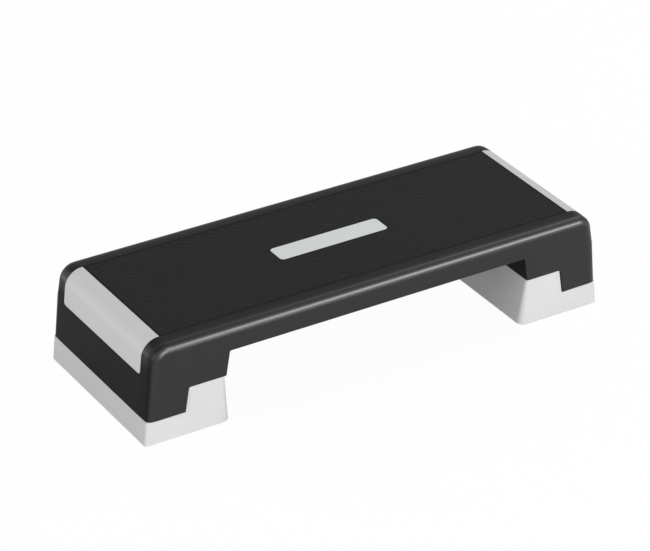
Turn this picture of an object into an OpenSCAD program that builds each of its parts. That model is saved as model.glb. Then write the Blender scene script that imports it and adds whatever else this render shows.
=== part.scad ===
// Aerobic step platform: a moulded deck on two lift-off risers.
// Origin on the floor under the middle of the deck, X along the length, Z up.

/* [Deck] */
// Length over the outer faces of the risers at the floor
overall_length = 1000; // [940:10:1060]
// Width over the long walls of the deck
deck_width = 368; // [352:2:390]
// Rise of one step of the legs, one training level
level_step = 50; // [46:1:54]
// Depth of the skirt along the long sides
skirt_depth = 50; // [48:1:56]
// Inward lean of the end walls in degrees
end_lean = 5.2; // [4.4:0.2:6]
// Radius of the roll over each end
end_roll = 36; // [32:1:39]
// Radius of the roll along each long edge
side_roll = 16; // [13:1:18]
// Radius of the upright corners of the deck
deck_corner = 20; // [17:1:23]
// Wall of the long sides
side_wall = 4; // [3.2:0.2:5]
// Wall left behind the trim pieces on the top and the ends
backing = 3.5; // [3:0.1:4.5]
// Thickness of the stiffening ribs
rib_wall = 2.6; // [2:0.2:3.4]
// Distance between the ribs that run along the deck
rib_pitch = 60; // [54:1:66]
// Distance between the ribs that run across the deck
cross_rib_pitch = 80; // [70:1:90]
// How far the ribs stay above the lower edge of the skirt
rib_setback = 8; // [5:1:12]
// Least distance from a long wall to the rib beside it
rib_side_room = 36; // [33:1:40]
// Least distance from an inner leg face to the cross rib beside it
cross_rib_room = 20; // [14:1:26]

/* [Legs] */
// Distance from the overall end to the step in a leg, at its foot
step_from_end = 84; // [80:1:88]
// Lean of the step and of the inner leg face in degrees
step_lean = 9.1; // [8:0.5:10]
// How far the inner leg face stands past the riser below it
leg_nose = 1.5; // [0.5:0.5:3]
// Distance from the step in to the inner cross rib of a leg
leg_rib_in = 36; // [30:1:42]
// Distance from the step out to the outer cross rib of a leg
leg_rib_out = 14; // [10:1:18]
// How far the bore of a pad post stops below the skirt line
post_core_drop = 10; // [6:1:20]

/* [Tread and trim] */
// Thickness of the tread mat, the end inserts and the centre plate
trim_t = 2.5; // [2:0.1:3]
// Width of the smooth border beside the tread
border = 38; // [34:1:42]
// Fall of the border from the tread to the long edge
border_fall = 1.8; // [1:0.2:2.6]
// Gap round the edge of each trim piece
trim_gap = 0.3; // [0.2:0.1:0.5]
// Gap behind each end insert
insert_back_gap = 0.1; // [0.1:0.05:0.3]
// How far the end insert reaches onto the flat of the top
insert_onto_top = 2.3; // [1:0.1:4]
// Depth of the end insert below the tread
insert_drop = 68; // [64:1:74]
// Radius of the lower corners of the end insert
insert_corner = 7; // [4:1:10]
// Length of the centre plate
plate_length = 236; // [200:2:260]
// Width of the centre plate
plate_width = 47; // [40:1:52]
// Corner radius of the centre plate
plate_corner = 8; // [4:1:12]
// Diameter of the two pegs under the centre plate
peg_d = 5; // [4:0.5:6]
// Length of the pegs below the plate
peg_length = 7; // [6:0.5:9]
// Distance from the end of the plate to a peg
peg_from_end = 18; // [14:1:24]

/* [Insert screws] */
// Distance between the screws along an insert
screw_pitch = 60; // [54:1:66]
// Height of the screws above the lower edge of the insert
screw_rise = 15; // [12:1:17]
// Diameter of the screw shank
screw_d = 3.4; // [3:0.2:4]
// Diameter of the screw head
screw_head_d = 11; // [10:0.5:12]
// Height of the screw head
screw_head_h = 3; // [2.4:0.2:4]
// Diameter of the insert boss round each screw
insert_boss_d = 8; // [7:0.5:9]
// Clearance round the bosses and pegs
peg_gap = 0.3; // [0.2:0.1:0.4]
// Clearance round a screw shank
screw_gap = 0.1; // [0.05:0.05:0.2]

/* [Risers] */
// Length of a riser at the floor
riser_length = 179; // [170:1:186]
// Lean of the inner wall of a riser in degrees
riser_lean = 6.3; // [5.5:0.2:7]
// How far the long walls of a riser stand in from the deck's
riser_inset = 2.5; // [1.5:0.5:3.5]
// Radius of the upright corners of a riser
riser_corner = 7; // [6:1:9]
// Wall of a riser
riser_wall = 3.5; // [3:0.1:4.2]
// Height of the collars that enter the legs
collar_height = 20; // [14:1:24]
// Wall of the collars
collar_wall = 3; // [2.5:0.1:4]
// Corner radius of the collars
collar_corner = 6; // [5:1:8]
// Distance from the step in a leg to the low collar
low_collar_in = 5; // [3:0.5:8]
// Distance from the step in a leg to the high collar
high_collar_in = 6; // [4:0.5:9]
// Room between a collar and the ribs above it
collar_room = 8; // [4:1:12]
// Clearance between a collar and the leg round it
collar_gap = 0.8; // [0.5:0.1:1.2]
// Clearance between the step of a leg and the step of a riser
step_gap = 0.5; // [0.3:0.1:0.8]
// How far the ribs of a riser stay above the floor
riser_rib_setback = 14; // [10:1:20]
// Place of the inner cross rib, as a share of the riser's length
riser_rib_share = 0.3; // [0.25:0.05:0.4]
// Distance from the step out to the outer cross rib
riser_rib_out = 10; // [8:1:16]
// Clearance round a deck pad in its pocket on the low ledge
pocket_gap = 0.5; // [0.3:0.1:1]
// Clearance below a deck pad in its pocket
pocket_floor_gap = 0.3; // [0.2:0.1:0.6]

/* [Rubber pads] */
// Diameter of a pad
pad_d = 26; // [24:0.5:27]
// Diameter of the plug that holds a pad
pad_plug_d = 19.6; // [18:0.2:19.8]
// Length of the plug
pad_plug_length = 9; // [7:0.5:11]
// Thickness of the pad below its plug
pad_thickness = 2; // [1.8:0.1:2.4]
// How far a pad stands below the foot that holds it
pad_proud = 1; // [0.8:0.1:1.2]
// Bevel round the foot of a pad and the end of its plug
pad_rim = 0.8; // [0.4:0.1:1.2]
// Outer diameter of the post over each pad
post_d = 28; // [27.5:0.5:30]
// Clearance round a plug
plug_gap = 0.2; // [0.1:0.05:0.3]
// Room past the end of a plug in a riser
plug_end_room = 2; // [1:0.5:3]
// Distance from a wall's outer face at the foot to a pad's centre, along the length
pad_from_end = 23; // [22:0.5:25]
// Distance from the long wall's outer face to a pad's centre
pad_from_side = 17; // [16:0.5:19]

/* [Hidden] */
$fn = 72;

// Heights of the ledges, the skirt and the tread
low_ledge = level_step;
high_ledge = 2 * level_step;
skirt_z = 3 * level_step;
tread_z = skirt_z + skirt_depth;
// Walls that carry trim are as thick as the trim and its backing
end_wall = trim_t + backing;
top_plate = trim_t + backing;
tread_half_width = deck_width / 2 - border;
insert_z = tread_z - insert_drop;
riser_half_width = deck_width / 2 - riser_inset;
// Room past the model, for cutters and for shapes that are trimmed later
beyond = 60;
// How far a small cutter runs past the face it opens
cut_past = 1;
// Depth that inner ribs reach into the wall they join
rib_root = 1.5;
// Places of the ribs that run along the deck and the risers
long_rib_count = floor((deck_width / 2 - rib_side_room) / rib_pitch + 0.5);
long_ribs = [for (i = [0 : long_rib_count - 1]) for (s = [-1, 1]) s * (i + 0.5) * rib_pitch];
// Places of the cross ribs between the legs
cross_rib_count = floor((leg_x(high_ledge) - cross_rib_room) / cross_rib_pitch);
cross_ribs = [for (i = [-cross_rib_count : cross_rib_count]) i * cross_rib_pitch];
// Places of the cross ribs in a leg
leg_ribs = [step_x(low_ledge) - leg_rib_in, step_x(low_ledge) + leg_rib_out];
leg_rib_z = high_ledge + collar_height + collar_room;
// Height to which the posts in the legs are hollow
post_core_z = skirt_z - post_core_drop;
// Places of the pads
deck_pad_x = outer_x(low_ledge) - pad_from_end;
riser_pad_outer_x = outer_x(0) - pad_from_end;
riser_pad_inner_x = inner_x(0) + pad_from_end;
deck_pad_y = deck_width / 2 - pad_from_side;
riser_pad_y = riser_half_width - pad_from_side;
screw_ys = [for (i = [-2, -1, 1, 2]) i * screw_pitch];

// Outer face of an end wall at height z
function outer_x(z) = overall_length / 2 - z * tan(end_lean);
// Inner wall of a riser at height z
function inner_x(z) = overall_length / 2 - riser_length + z * tan(riser_lean);
// Face of the step in a leg at height z
function step_x(z) = overall_length / 2 - step_from_end - (z - low_ledge) * tan(step_lean);
// Inner face of a leg at height z
function leg_x(z) = inner_x(high_ledge) - leg_nose - (z - high_ledge) * tan(step_lean);

function unit(v) = v / norm(v);
function half_angle(p, a, b) = acos(unit(a - p) * unit(b - p)) / 2;

// Outline through points, with a true arc of the given radius at each corner
module rounded(points, radii) {
    n = len(points);
    polygon([for (i = [0 : n - 1])
        let (p = points[i], a = points[(i + n - 1) % n], b = points[(i + 1) % n],
             cut = radii[i] / tan(half_angle(p, a, b)))
        each (radii[i] > 0 ? [p + unit(a - p) * cut, p + unit(b - p) * cut] : [p])]);
    for (i = [0 : n - 1])
        if (radii[i] > 0) {
            p = points[i];
            a = points[(i + n - 1) % n];
            b = points[(i + 1) % n];
            translate(p + unit(unit(a - p) + unit(b - p)) * radii[i] / sin(half_angle(p, a, b)))
                circle(r = radii[i]);
        }
}

// Extrude an outline in X and Z across the width
module across(width) {
    rotate([90, 0, 0]) translate([0, 0, -width / 2]) linear_extrude(width) children();
}

// Extrude an outline in Y and Z along the length
module along(length) {
    rotate([90, 0, 90]) translate([0, 0, -length / 2]) linear_extrude(length) children();
}

// Both ends of the object, from one drawn at +X
module both_ends() {
    children();
    mirror([1, 0, 0]) children();
}

// The long profile above the feet, drawn in by t
module long_profile(t) {
    slope = t / cos(end_lean);
    rounded([[-outer_x(0) + slope, 0], [outer_x(0) - slope, 0],
             [outer_x(tread_z - t) - slope, tread_z - t], [-outer_x(tread_z - t) + slope, tread_z - t]],
            [0, 0, end_roll - t, end_roll - t]);
}

// The cross profile, drawn in by t_side at the walls and t_top at the top
module cross_profile(t_side, t_top) {
    w = deck_width / 2 - t_side;
    rounded([[-w, 0], [w, 0], [w, tread_z - t_top - border_fall], [tread_half_width, tread_z - t_top],
             [-tread_half_width, tread_z - t_top], [-w, tread_z - t_top - border_fall]],
            [0, 0, side_roll - t_side, 0, 0, side_roll - t_side]);
}

// A leaning prism whose +X end has rounded upright corners, for one end of a shell
module corner_prism(half_width, t, corner, lean, reach) {
    rotate([0, -lean, 0])
        translate([-t, 0, -beyond])
            linear_extrude(tread_z + 2 * beyond + reach * sin(lean))
                rounded([[0, -half_width], [0, half_width], [-reach, half_width], [-reach, -half_width]],
                        [corner, corner, 0, 0]);
}

// The deck as a solid loaf, drawn in by t_end at the ends and top and t_side at the long walls
module deck_form(t_end, t_side) {
    intersection() {
        across(deck_width + beyond) long_profile(t_end);
        along(overall_length + beyond) cross_profile(t_side, t_end);
        deck_corner_prism(t_end, t_side);
        mirror([1, 0, 0]) deck_corner_prism(t_end, t_side);
    }
}

// The prism that rounds the upright corners at the +X end of the deck
module deck_corner_prism(t_end, t_side) {
    translate([outer_x(0), 0, 0])
        corner_prism(deck_width / 2 - t_side, t_end, deck_corner - t_end, end_lean, overall_length + beyond);
}

// What is open below the stepped legs and the skirt
module underside() {
    across(deck_width + beyond)
        polygon([[-outer_x(0) - beyond, -beyond], [-outer_x(0) - beyond, low_ledge],
                 [-step_x(low_ledge), low_ledge], [-step_x(high_ledge), high_ledge],
                 [-leg_x(high_ledge), high_ledge], [-leg_x(skirt_z), skirt_z],
                 [leg_x(skirt_z), skirt_z], [leg_x(high_ledge), high_ledge],
                 [step_x(high_ledge), high_ledge], [step_x(low_ledge), low_ledge],
                 [outer_x(0) + beyond, low_ledge], [outer_x(0) + beyond, -beyond]]);
}

// Recess in the top and ends that takes the tread mat and the end inserts
module trim_recess() {
    difference() {
        along(overall_length + beyond)
            rounded([[-tread_half_width, insert_z], [tread_half_width, insert_z],
                     [tread_half_width, tread_z + beyond], [-tread_half_width, tread_z + beyond]],
                    [insert_corner, insert_corner, 0, 0]);
        across(deck_width) long_profile(trim_t);
    }
}

// Ribs, inner leg walls and pad posts, before they are trimmed to the shell
module deck_stiffening() {
    for (y = long_ribs)
        translate([0, y, 0]) across(rib_wall) long_rib_outline();
    for (x = cross_ribs)
        translate([x - rib_wall / 2, -deck_width / 2, skirt_z + rib_setback])
            cube([rib_wall, deck_width, skirt_depth]);
    both_ends() {
        for (x = leg_ribs)
            translate([x - rib_wall / 2, -deck_width / 2, leg_rib_z])
                cube([rib_wall, deck_width, tread_z - leg_rib_z]);
        across(deck_width)
            polygon([[leg_x(high_ledge), high_ledge], [leg_x(high_ledge) + side_wall, high_ledge],
                     [leg_x(tread_z) + side_wall, tread_z], [leg_x(tread_z), tread_z]]);
        for (s = [-1, 1])
            translate([deck_pad_x, s * deck_pad_y, low_ledge + pad_thickness - pad_proud])
                cylinder(d = post_d, h = tread_z - low_ledge);
    }
}

// A rib along the deck: shallow between the legs, deeper inside them, rooted in the inner leg walls
module long_rib_outline() {
    rib_z = skirt_z + rib_setback;
    polygon([[-leg_x(rib_z) - rib_root, rib_z], [leg_x(rib_z) + rib_root, rib_z],
             [leg_x(tread_z) + rib_root, tread_z], [-leg_x(tread_z) - rib_root, tread_z]]);
    for (s = [-1, 1])
        polygon([[s * (leg_x(leg_rib_z) + rib_root), leg_rib_z], [s * outer_x(0), leg_rib_z],
                 [s * outer_x(0), tread_z], [s * (leg_x(tread_z) + rib_root), tread_z]]);
}

// Frame on the outer face of an end wall, at height z and with Z outwards
module on_end_wall(y, z) {
    translate([outer_x(z), y, z]) rotate([0, 90 - end_lean, 0]) children();
}

module deck_shell() {
    color([0.045, 0.045, 0.045])
    difference() {
        union() {
            difference() {
                deck_form(0, 0);
                underside();
                deck_form(end_wall, side_wall);
            }
            intersection() {
                deck_stiffening();
                deck_form(end_wall - rib_root, side_wall - rib_root);
            }
        }
        trim_recess();
        both_ends() {
            for (s = [-1, 1])
                translate([deck_pad_x, s * deck_pad_y, 0])
                    cylinder(d = pad_plug_d + 2 * plug_gap, h = post_core_z);
            for (y = screw_ys)
                on_end_wall(y, insert_z + screw_rise)
                    translate([0, 0, -end_wall - cut_past])
                        cylinder(d = insert_boss_d + 2 * peg_gap, h = end_wall + 2 * cut_past);
            translate([plate_length / 2 - peg_from_end, 0, tread_z - top_plate - cut_past])
                cylinder(d = peg_d + 2 * peg_gap, h = top_plate);
        }
    }
}

module tread_mat() {
    half_length = roll_start() - insert_onto_top - trim_gap;
    half_width = tread_half_width - trim_gap;
    color([0.03, 0.03, 0.03])
    translate([0, 0, tread_z - trim_t])
        linear_extrude(trim_t)
            difference() {
                square([2 * half_length, 2 * half_width], center = true);
                plate_outline(trim_gap);
            }
}

// Where the flat of the top ends and the roll over the end starts
function roll_start() = outer_x(tread_z) - end_roll * tan((90 - end_lean) / 2);

// Outline of the centre plate, grown by g
module plate_outline(g) {
    l = plate_length / 2 + g;
    w = plate_width / 2 + g;
    r = plate_corner + g;
    rounded([[-l, -w], [l, -w], [l, w], [-l, w]], [r, r, r, r]);
}

module centre_plate() {
    color([0.72, 0.73, 0.73]) {
        translate([0, 0, tread_z - trim_t]) linear_extrude(trim_t) plate_outline(0);
        both_ends()
            translate([plate_length / 2 - peg_from_end, 0, tread_z - trim_t - peg_length])
                cylinder(d = peg_d, h = peg_length + trim_t / 2);
    }
}

module end_insert() {
    half_width = tread_half_width - trim_gap;
    color([0.62, 0.62, 0.62])
    difference() {
        union() {
            intersection() {
                difference() {
                    across(deck_width) long_profile(0);
                    across(deck_width + beyond) long_profile(trim_t - insert_back_gap);
                }
                translate([overall_length / 2, 0, 0])
                    along(overall_length - 2 * (roll_start() - insert_onto_top))
                        rounded([[-half_width, insert_z + trim_gap], [half_width, insert_z + trim_gap],
                                 [half_width, tread_z + beyond], [-half_width, tread_z + beyond]],
                                [insert_corner, insert_corner, 0, 0]);
            }
            for (y = screw_ys)
                on_end_wall(y, insert_z + screw_rise)
                    translate([0, 0, -end_wall + peg_gap])
                        cylinder(d = insert_boss_d, h = end_wall - trim_t / 2);
        }
        for (y = screw_ys)
            on_end_wall(y, insert_z + screw_rise)
                translate([0, 0, -end_wall])
                    cylinder(d = screw_d + 2 * screw_gap, h = end_wall - trim_t / 2);
    }
}

module insert_screws() {
    color([0.55, 0.55, 0.57])
    for (y = screw_ys)
        on_end_wall(y, insert_z + screw_rise)
            translate([0, 0, -end_wall]) {
                translate([0, 0, -screw_head_h]) cylinder(d = screw_head_d, h = screw_head_h);
                cylinder(d = screw_d, h = end_wall - trim_t / 2 - screw_gap);
            }
}

// A pad with its foot at z = 0, held by its plug
module pad() {
    color([0.06, 0.06, 0.06])
    rotate_extrude()
        polygon([[0, 0], [pad_d / 2 - pad_rim, 0], [pad_d / 2, pad_rim],
                 [pad_d / 2, pad_thickness], [pad_plug_d / 2, pad_thickness],
                 [pad_plug_d / 2, pad_thickness + pad_plug_length - pad_rim],
                 [pad_plug_d / 2 - pad_rim, pad_thickness + pad_plug_length],
                 [0, pad_thickness + pad_plug_length]]);
}

// A riser as a solid block, drawn in by t, with its foot at z
module riser_form(t, foot) {
    out_t = t / cos(end_lean);
    in_t = t / cos(riser_lean);
    step_t = t / cos(step_lean) + step_gap;
    roof = high_ledge - t;
    ledge = low_ledge - t;
    intersection() {
        across(2 * (riser_half_width - t))
            polygon([[inner_x(foot) + in_t, foot], [outer_x(foot) - out_t, foot],
                     [outer_x(ledge) - out_t, ledge], [step_x(ledge) - step_t, ledge],
                     [step_x(roof) - step_t, roof], [inner_x(roof) + in_t, roof]]);
        translate([outer_x(0), 0, 0])
            corner_prism(riser_half_width - t, t, riser_corner - t, end_lean, riser_length + beyond);
        translate([inner_x(0), 0, 0]) mirror([1, 0, 0])
            corner_prism(riser_half_width - t, t, riser_corner - t, riser_lean, riser_length + beyond);
    }
}

// Ring that stands on a ledge, from x0 to x1 and over the given half width
module collar(x0, x1, half_width, ledge) {
    translate([0, 0, ledge - rib_root])
        linear_extrude(collar_height + rib_root)
            difference() {
                ring_outline(x0, x1, half_width, collar_corner);
                ring_outline(x0 + collar_wall, x1 - collar_wall, half_width - collar_wall,
                             collar_corner - collar_wall);
            }
}

module ring_outline(x0, x1, half_width, r) {
    rounded([[x0, -half_width], [x1, -half_width], [x1, half_width], [x0, half_width]], [r, r, r, r]);
}

module riser_stiffening() {
    for (y = long_ribs)
        translate([inner_x(0), y - rib_wall / 2, riser_rib_setback])
            cube([riser_length, rib_wall, high_ledge]);
    for (x = [inner_x(0) + riser_length * riser_rib_share, step_x(low_ledge) + riser_rib_out])
        translate([x - rib_wall / 2, -deck_width / 2, riser_rib_setback])
            cube([rib_wall, deck_width, high_ledge]);
    for (x = [riser_pad_inner_x, riser_pad_outer_x])
        for (s = [-1, 1])
            translate([x, s * riser_pad_y, pad_thickness]) cylinder(d = post_d, h = high_ledge);
}

module riser() {
    collar_outer_x = outer_x(low_ledge + collar_height) - end_wall / cos(end_lean) - collar_gap;
    color([0.8, 0.8, 0.79])
    difference() {
        union() {
            difference() {
                riser_form(0, pad_proud);
                riser_form(riser_wall, -beyond);
            }
            intersection() {
                riser_stiffening();
                riser_form(riser_wall - rib_root, pad_proud);
            }
            collar(step_x(low_ledge) + low_collar_in, collar_outer_x,
                   deck_pad_y - post_d / 2 - collar_gap, low_ledge);
            collar(leg_x(high_ledge) + side_wall + collar_gap, step_x(high_ledge) - high_collar_in,
                   deck_width / 2 - side_wall - collar_gap, high_ledge);
        }
        for (x = [riser_pad_inner_x, riser_pad_outer_x])
            for (s = [-1, 1])
                translate([x, s * riser_pad_y, 0])
                    cylinder(d = pad_plug_d + 2 * plug_gap,
                             h = pad_thickness + pad_plug_length + plug_end_room);
        for (s = [-1, 1])
            translate([deck_pad_x, s * deck_pad_y, low_ledge - pad_proud - pocket_floor_gap])
                cylinder(d = pad_d + 2 * pocket_gap, h = beyond);
    }
}

deck_shell();
tread_mat();
centre_plate();
mirror([1, 0, 0]) end_insert();  // left_end_insert
end_insert();  // right_end_insert
mirror([1, 0, 0]) insert_screws();  // left_insert_screws
insert_screws();  // right_insert_screws
mirror([1, 0, 0]) riser();  // left_riser
riser();  // right_riser
for (side = [-1, 1])
    for (face = [-1, 1]) {
        face_name = face < 0 ? "front" : "back";
        side_name = side < 0 ? "left" : "right";
        translate([side * deck_pad_x, face * deck_pad_y, low_ledge - pad_proud]) pad();
        translate([side * riser_pad_outer_x, face * riser_pad_y, 0]) pad();
        translate([side * riser_pad_inner_x, face * riser_pad_y, 0]) pad();
    }
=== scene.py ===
import bpy
import bmesh
import math
from mathutils import Matrix, Vector


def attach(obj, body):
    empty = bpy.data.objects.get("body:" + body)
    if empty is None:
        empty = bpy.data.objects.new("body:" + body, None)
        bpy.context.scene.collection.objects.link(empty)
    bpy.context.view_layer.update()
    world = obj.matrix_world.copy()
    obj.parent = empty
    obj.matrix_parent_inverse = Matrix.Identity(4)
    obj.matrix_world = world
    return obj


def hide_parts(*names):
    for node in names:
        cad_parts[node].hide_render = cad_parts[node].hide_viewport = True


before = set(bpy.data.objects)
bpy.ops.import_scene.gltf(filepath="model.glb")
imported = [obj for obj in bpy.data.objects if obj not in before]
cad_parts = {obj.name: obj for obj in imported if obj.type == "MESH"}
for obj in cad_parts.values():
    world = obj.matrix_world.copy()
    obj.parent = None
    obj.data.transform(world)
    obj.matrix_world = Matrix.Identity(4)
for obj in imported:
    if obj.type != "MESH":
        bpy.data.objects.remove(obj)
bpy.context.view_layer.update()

# Camera: a long lens on the step from above its front left, as a catalogue picture is taken.
# The focal length is counted in pixels of a picture of the width named here.
VIEW_AZIMUTH = math.radians(-31.938)
VIEW_HEIGHT = math.radians(29.942)
VIEW_ROLL = math.radians(0.403)
VIEW_TARGET = Vector((0.02042, 0.0465, 0.09097))
VIEW_DISTANCE = 5.93312
FOCAL_LENGTH = 3100.5
PICTURE_WIDTH = 650
SENSOR_WIDTH = 36
to_camera = Vector((math.sin(VIEW_AZIMUTH) * math.cos(VIEW_HEIGHT),
                    -math.cos(VIEW_AZIMUTH) * math.cos(VIEW_HEIGHT), math.sin(VIEW_HEIGHT)))
camera = bpy.data.objects.new("camera", bpy.data.cameras.new("camera"))
bpy.context.collection.objects.link(camera)
camera.data.lens = FOCAL_LENGTH * SENSOR_WIDTH / PICTURE_WIDTH
camera.data.sensor_width = SENSOR_WIDTH
camera.data.clip_end = 60
camera.matrix_world = (Matrix.Translation(VIEW_TARGET + to_camera * VIEW_DISTANCE)
                       @ to_camera.to_track_quat("Z", "Y").to_matrix().to_4x4()
                       @ Matrix.Rotation(VIEW_ROLL, 4, "Z"))
bpy.context.scene.camera = camera

# Room: a plain white studio. The world is white to the camera and in reflections, and lights
# the step softly. The floor lets that white through, and keeps a faint shadow of the step.
WORLD_LIGHT = 0.4
FLOOR_SIZE = 12
FLOOR_DROP = 0.0005
SHADOW_SHARE = 0.04
LAMP_DISTANCE = 5
bpy.context.scene.view_settings.view_transform = "Standard"
world = bpy.data.worlds.new("studio")
bpy.context.scene.world = world


class Wire:
    """A socket of a material, on which Python's maths signs add Math nodes."""

    def __init__(self, socket):
        self.socket = socket

    def sum(self, operation, first, second):
        """Add one Math node, which works on two wires or numbers."""
        tree = self.socket.id_data
        node = tree.nodes.new("ShaderNodeMath")
        node.operation = operation
        for place, value in enumerate((first, second)):
            if isinstance(value, Wire):
                tree.links.new(value.socket, node.inputs[place])
            elif value is not None:
                node.inputs[place].default_value = value
        return Wire(node.outputs[0])

    def __add__(self, other):
        return self.sum("ADD", self, other)

    def __radd__(self, other):
        return self.sum("ADD", other, self)

    def __sub__(self, other):
        return self.sum("SUBTRACT", self, other)

    def __rsub__(self, other):
        return self.sum("SUBTRACT", other, self)

    def __mul__(self, other):
        return self.sum("MULTIPLY", self, other)

    def __rmul__(self, other):
        return self.sum("MULTIPLY", other, self)

    def __truediv__(self, other):
        return self.sum("DIVIDE", self, other)

    def __mod__(self, other):
        return self.sum("FLOORED_MODULO", self, other)

    def __pow__(self, other):
        return self.sum("POWER", self, other)

    def __abs__(self):
        return self.sum("ABSOLUTE", self, None)

    def above(self, other):
        return self.sum("GREATER_THAN", self, other)

    def least(self, other):
        return self.sum("MINIMUM", self, other)

    def most(self, other):
        return self.sum("MAXIMUM", self, other)


class Finish:
    """The node tree of a material or of the world."""

    def __init__(self, owner):
        owner.use_nodes = True
        self.tree = owner.node_tree
        self.tree.nodes.clear()

    def add(self, kind, settings=None, inputs=None, output=0):
        """Add a node: its settings first, then the values or wires of its sockets."""
        node = self.tree.nodes.new("ShaderNode" + kind)
        for name, value in (settings or {}).items():
            if name == "stops":
                for place, (position, colour) in enumerate(value):
                    stop = (node.color_ramp.elements[place] if place < 2
                            else node.color_ramp.elements.new(position))
                    stop.position = position
                    stop.color = (*colour, 1)
            else:
                setattr(node, name, value)
        for name, value in (inputs or {}).items():
            if isinstance(value, Wire):
                self.tree.links.new(value.socket, node.inputs[name])
            else:
                node.inputs[name].default_value = value
        return Wire(node.outputs[output]) if node.outputs else None


sky = Finish(world)
to_eye = sky.add("LightPath")
rays = to_eye.socket.node.outputs
seen = to_eye.most(Wire(rays["Is Glossy Ray"])).most(Wire(rays["Is Transmission Ray"]))
glow = sky.add("Background", None, {"Color": (1, 1, 1, 1),
                                    "Strength": seen * (1 - WORLD_LIGHT) + WORLD_LIGHT})
sky.add("OutputWorld", None, {"Surface": glow})

bpy.ops.mesh.primitive_plane_add(size=FLOOR_SIZE, location=(0, 0, -FLOOR_DROP))
floor = bpy.context.object
floor.name = "floor"
floor_paint = bpy.data.materials.new("floor_paint")
paint = Finish(floor_paint)
to_eye = paint.add("LightPath")
matt = paint.add("BsdfDiffuse", None, {"Color": (0.8, 0.8, 0.8, 1)})
bright = paint.add("BsdfDiffuse", None, {"Color": (0.98, 0.98, 0.98, 1)})
clear = paint.add("BsdfTransparent")
faint = paint.add("MixShader", None, {0: SHADOW_SHARE, 1: clear, 2: bright})
cover = paint.add("MixShader", None, {0: to_eye, 1: matt, 2: faint})
paint.add("OutputMaterial", None, {"Surface": cover})
floor.data.materials.append(floor_paint)


def hang_light(name, toward, size, power, only_sheen=False):
    """Hang a soft box in the room, facing the step. One for sheen shows in gloss alone."""
    lamp = bpy.data.objects.new(name, bpy.data.lights.new(name, "AREA"))
    bpy.context.collection.objects.link(lamp)
    lamp.data.shape = "RECTANGLE"
    lamp.data.size, lamp.data.size_y = size
    lamp.data.energy = power
    lamp.visible_diffuse = not only_sheen
    way = Vector(toward).normalized()
    lamp.matrix_world = (Matrix.Translation(way * LAMP_DISTANCE)
                         @ way.to_track_quat("Z", "Y").to_matrix().to_4x4())


hang_light("key_light", (0.62, 0.1, 0.78), (2.0, 2.0), 83)
hang_light("front_light", (0.02, -0.97, 0.2), (2.6, 1.6), 190)
hang_light("left_light", (-1, -0.25, 0.35), (2.6, 2.6), 74)
hang_light("end_light", (-0.55, 0.74, 0.38), (1.3, 1.3), 28)
hang_light("front_sheen", (0.49, -0.73, 0.49), (2.6, 1.1), 190, only_sheen=True)
hang_light("end_sheen", (-0.67, 0.74, 0.06), (1.3, 0.8), 40, only_sheen=True)


# Deck: one moulding of black polypropylene, a long loaf on two stepped legs, hollow below with
# ribs. Its long edges and its upright corners are rolled, and its border falls away from the tread.
LENGTH = 1.0
WIDTH = 0.368
TOP = 0.2
LEVEL = 0.05
SKIRT = 3 * LEVEL
END_LEAN = math.radians(5.2)
END_ROLL = 0.036
SIDE_ROLL = 0.016
CORNER_ROLL = 0.020
BORDER = 0.038
BORDER_FALL = 0.0018
BORDER_ROWS = (0, 0.004, 0.009, 0.015)
TREAD_SIDE = WIDTH / 2 - BORDER
SIDE_WALL = 0.004
END_WALL = 0.006
STEP_FROM_END = 0.084
LEG_FACE = 0.3305404
STEP_LEAN = math.radians(9.1)
ROLL_STEPS = 20
CORNER_STEPS = 10
SMOOTH_BELOW = math.radians(30)

# Points closer than a hair count as level with each other, and cutters run past what they cut.
HAIR = 0.00001
NEAR = 0.0001
CUT_PAST = 0.01
OVERSHOOT = 0.02


def end_x(z):
    """Outer face of the end wall at height z."""
    return LENGTH / 2 - z * math.tan(END_LEAN)


def step_x(z):
    """Face of the step in a leg at height z."""
    return LENGTH / 2 - STEP_FROM_END - (z - LEVEL) * math.tan(STEP_LEAN)


def leg_x(z):
    """Inner face of a leg at height z, with its named place at the second level."""
    return LEG_FACE - (z - 2 * LEVEL) * math.tan(STEP_LEAN)


def close_mesh():
    """Leave edit mode."""
    bpy.ops.object.mode_set(mode="OBJECT")


def bare():
    """Leave nothing selected, so that an operator acts on the new piece alone."""
    if bpy.context.mode != "OBJECT":
        close_mesh()
    bpy.ops.object.select_all(action="DESELECT")


def take(piece):
    """Make one piece the selected and active one."""
    bare()
    piece.select_set(True)
    bpy.context.view_layer.objects.active = piece
    return piece


def open_mesh(piece):
    """Take one piece and edit its mesh."""
    take(piece)
    bpy.ops.object.mode_set(mode="EDIT")


def fix_place():
    """Put the place and turn of the piece that is taken into its mesh."""
    bpy.ops.object.transform_apply(location=True, rotation=True, scale=True)


def new_block(low, high):
    """A cube moved and sized to fill a box, with its place in its mesh."""
    bare()
    bpy.ops.mesh.primitive_cube_add(size=1)
    block = bpy.context.object
    open_mesh(block)
    bpy.ops.transform.resize(value=[b - a for a, b in zip(low, high)])
    bpy.ops.transform.translate(value=[(a + b) / 2 for a, b in zip(low, high)])
    close_mesh()
    return block


def choose(kind, test):
    """In edit mode, select the vertices, edges or faces that pass the test, and nothing else."""
    bpy.ops.mesh.select_mode(type=kind)
    bpy.ops.mesh.select_all(action="DESELECT")
    mesh = bmesh.from_edit_mesh(bpy.context.edit_object.data)
    for item in {"VERT": mesh.verts, "EDGE": mesh.edges, "FACE": mesh.faces}[kind]:
        if test(item):
            item.select_set(True)
    bmesh.update_edit_mesh(bpy.context.edit_object.data)


def round_edges(radius, segments):
    """In edit mode, round off the chosen edges."""
    bpy.ops.mesh.bevel(offset_type="OFFSET", offset=radius, segments=segments, profile=0.5,
                       affect="EDGES", clamp_overlap=False)


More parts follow.
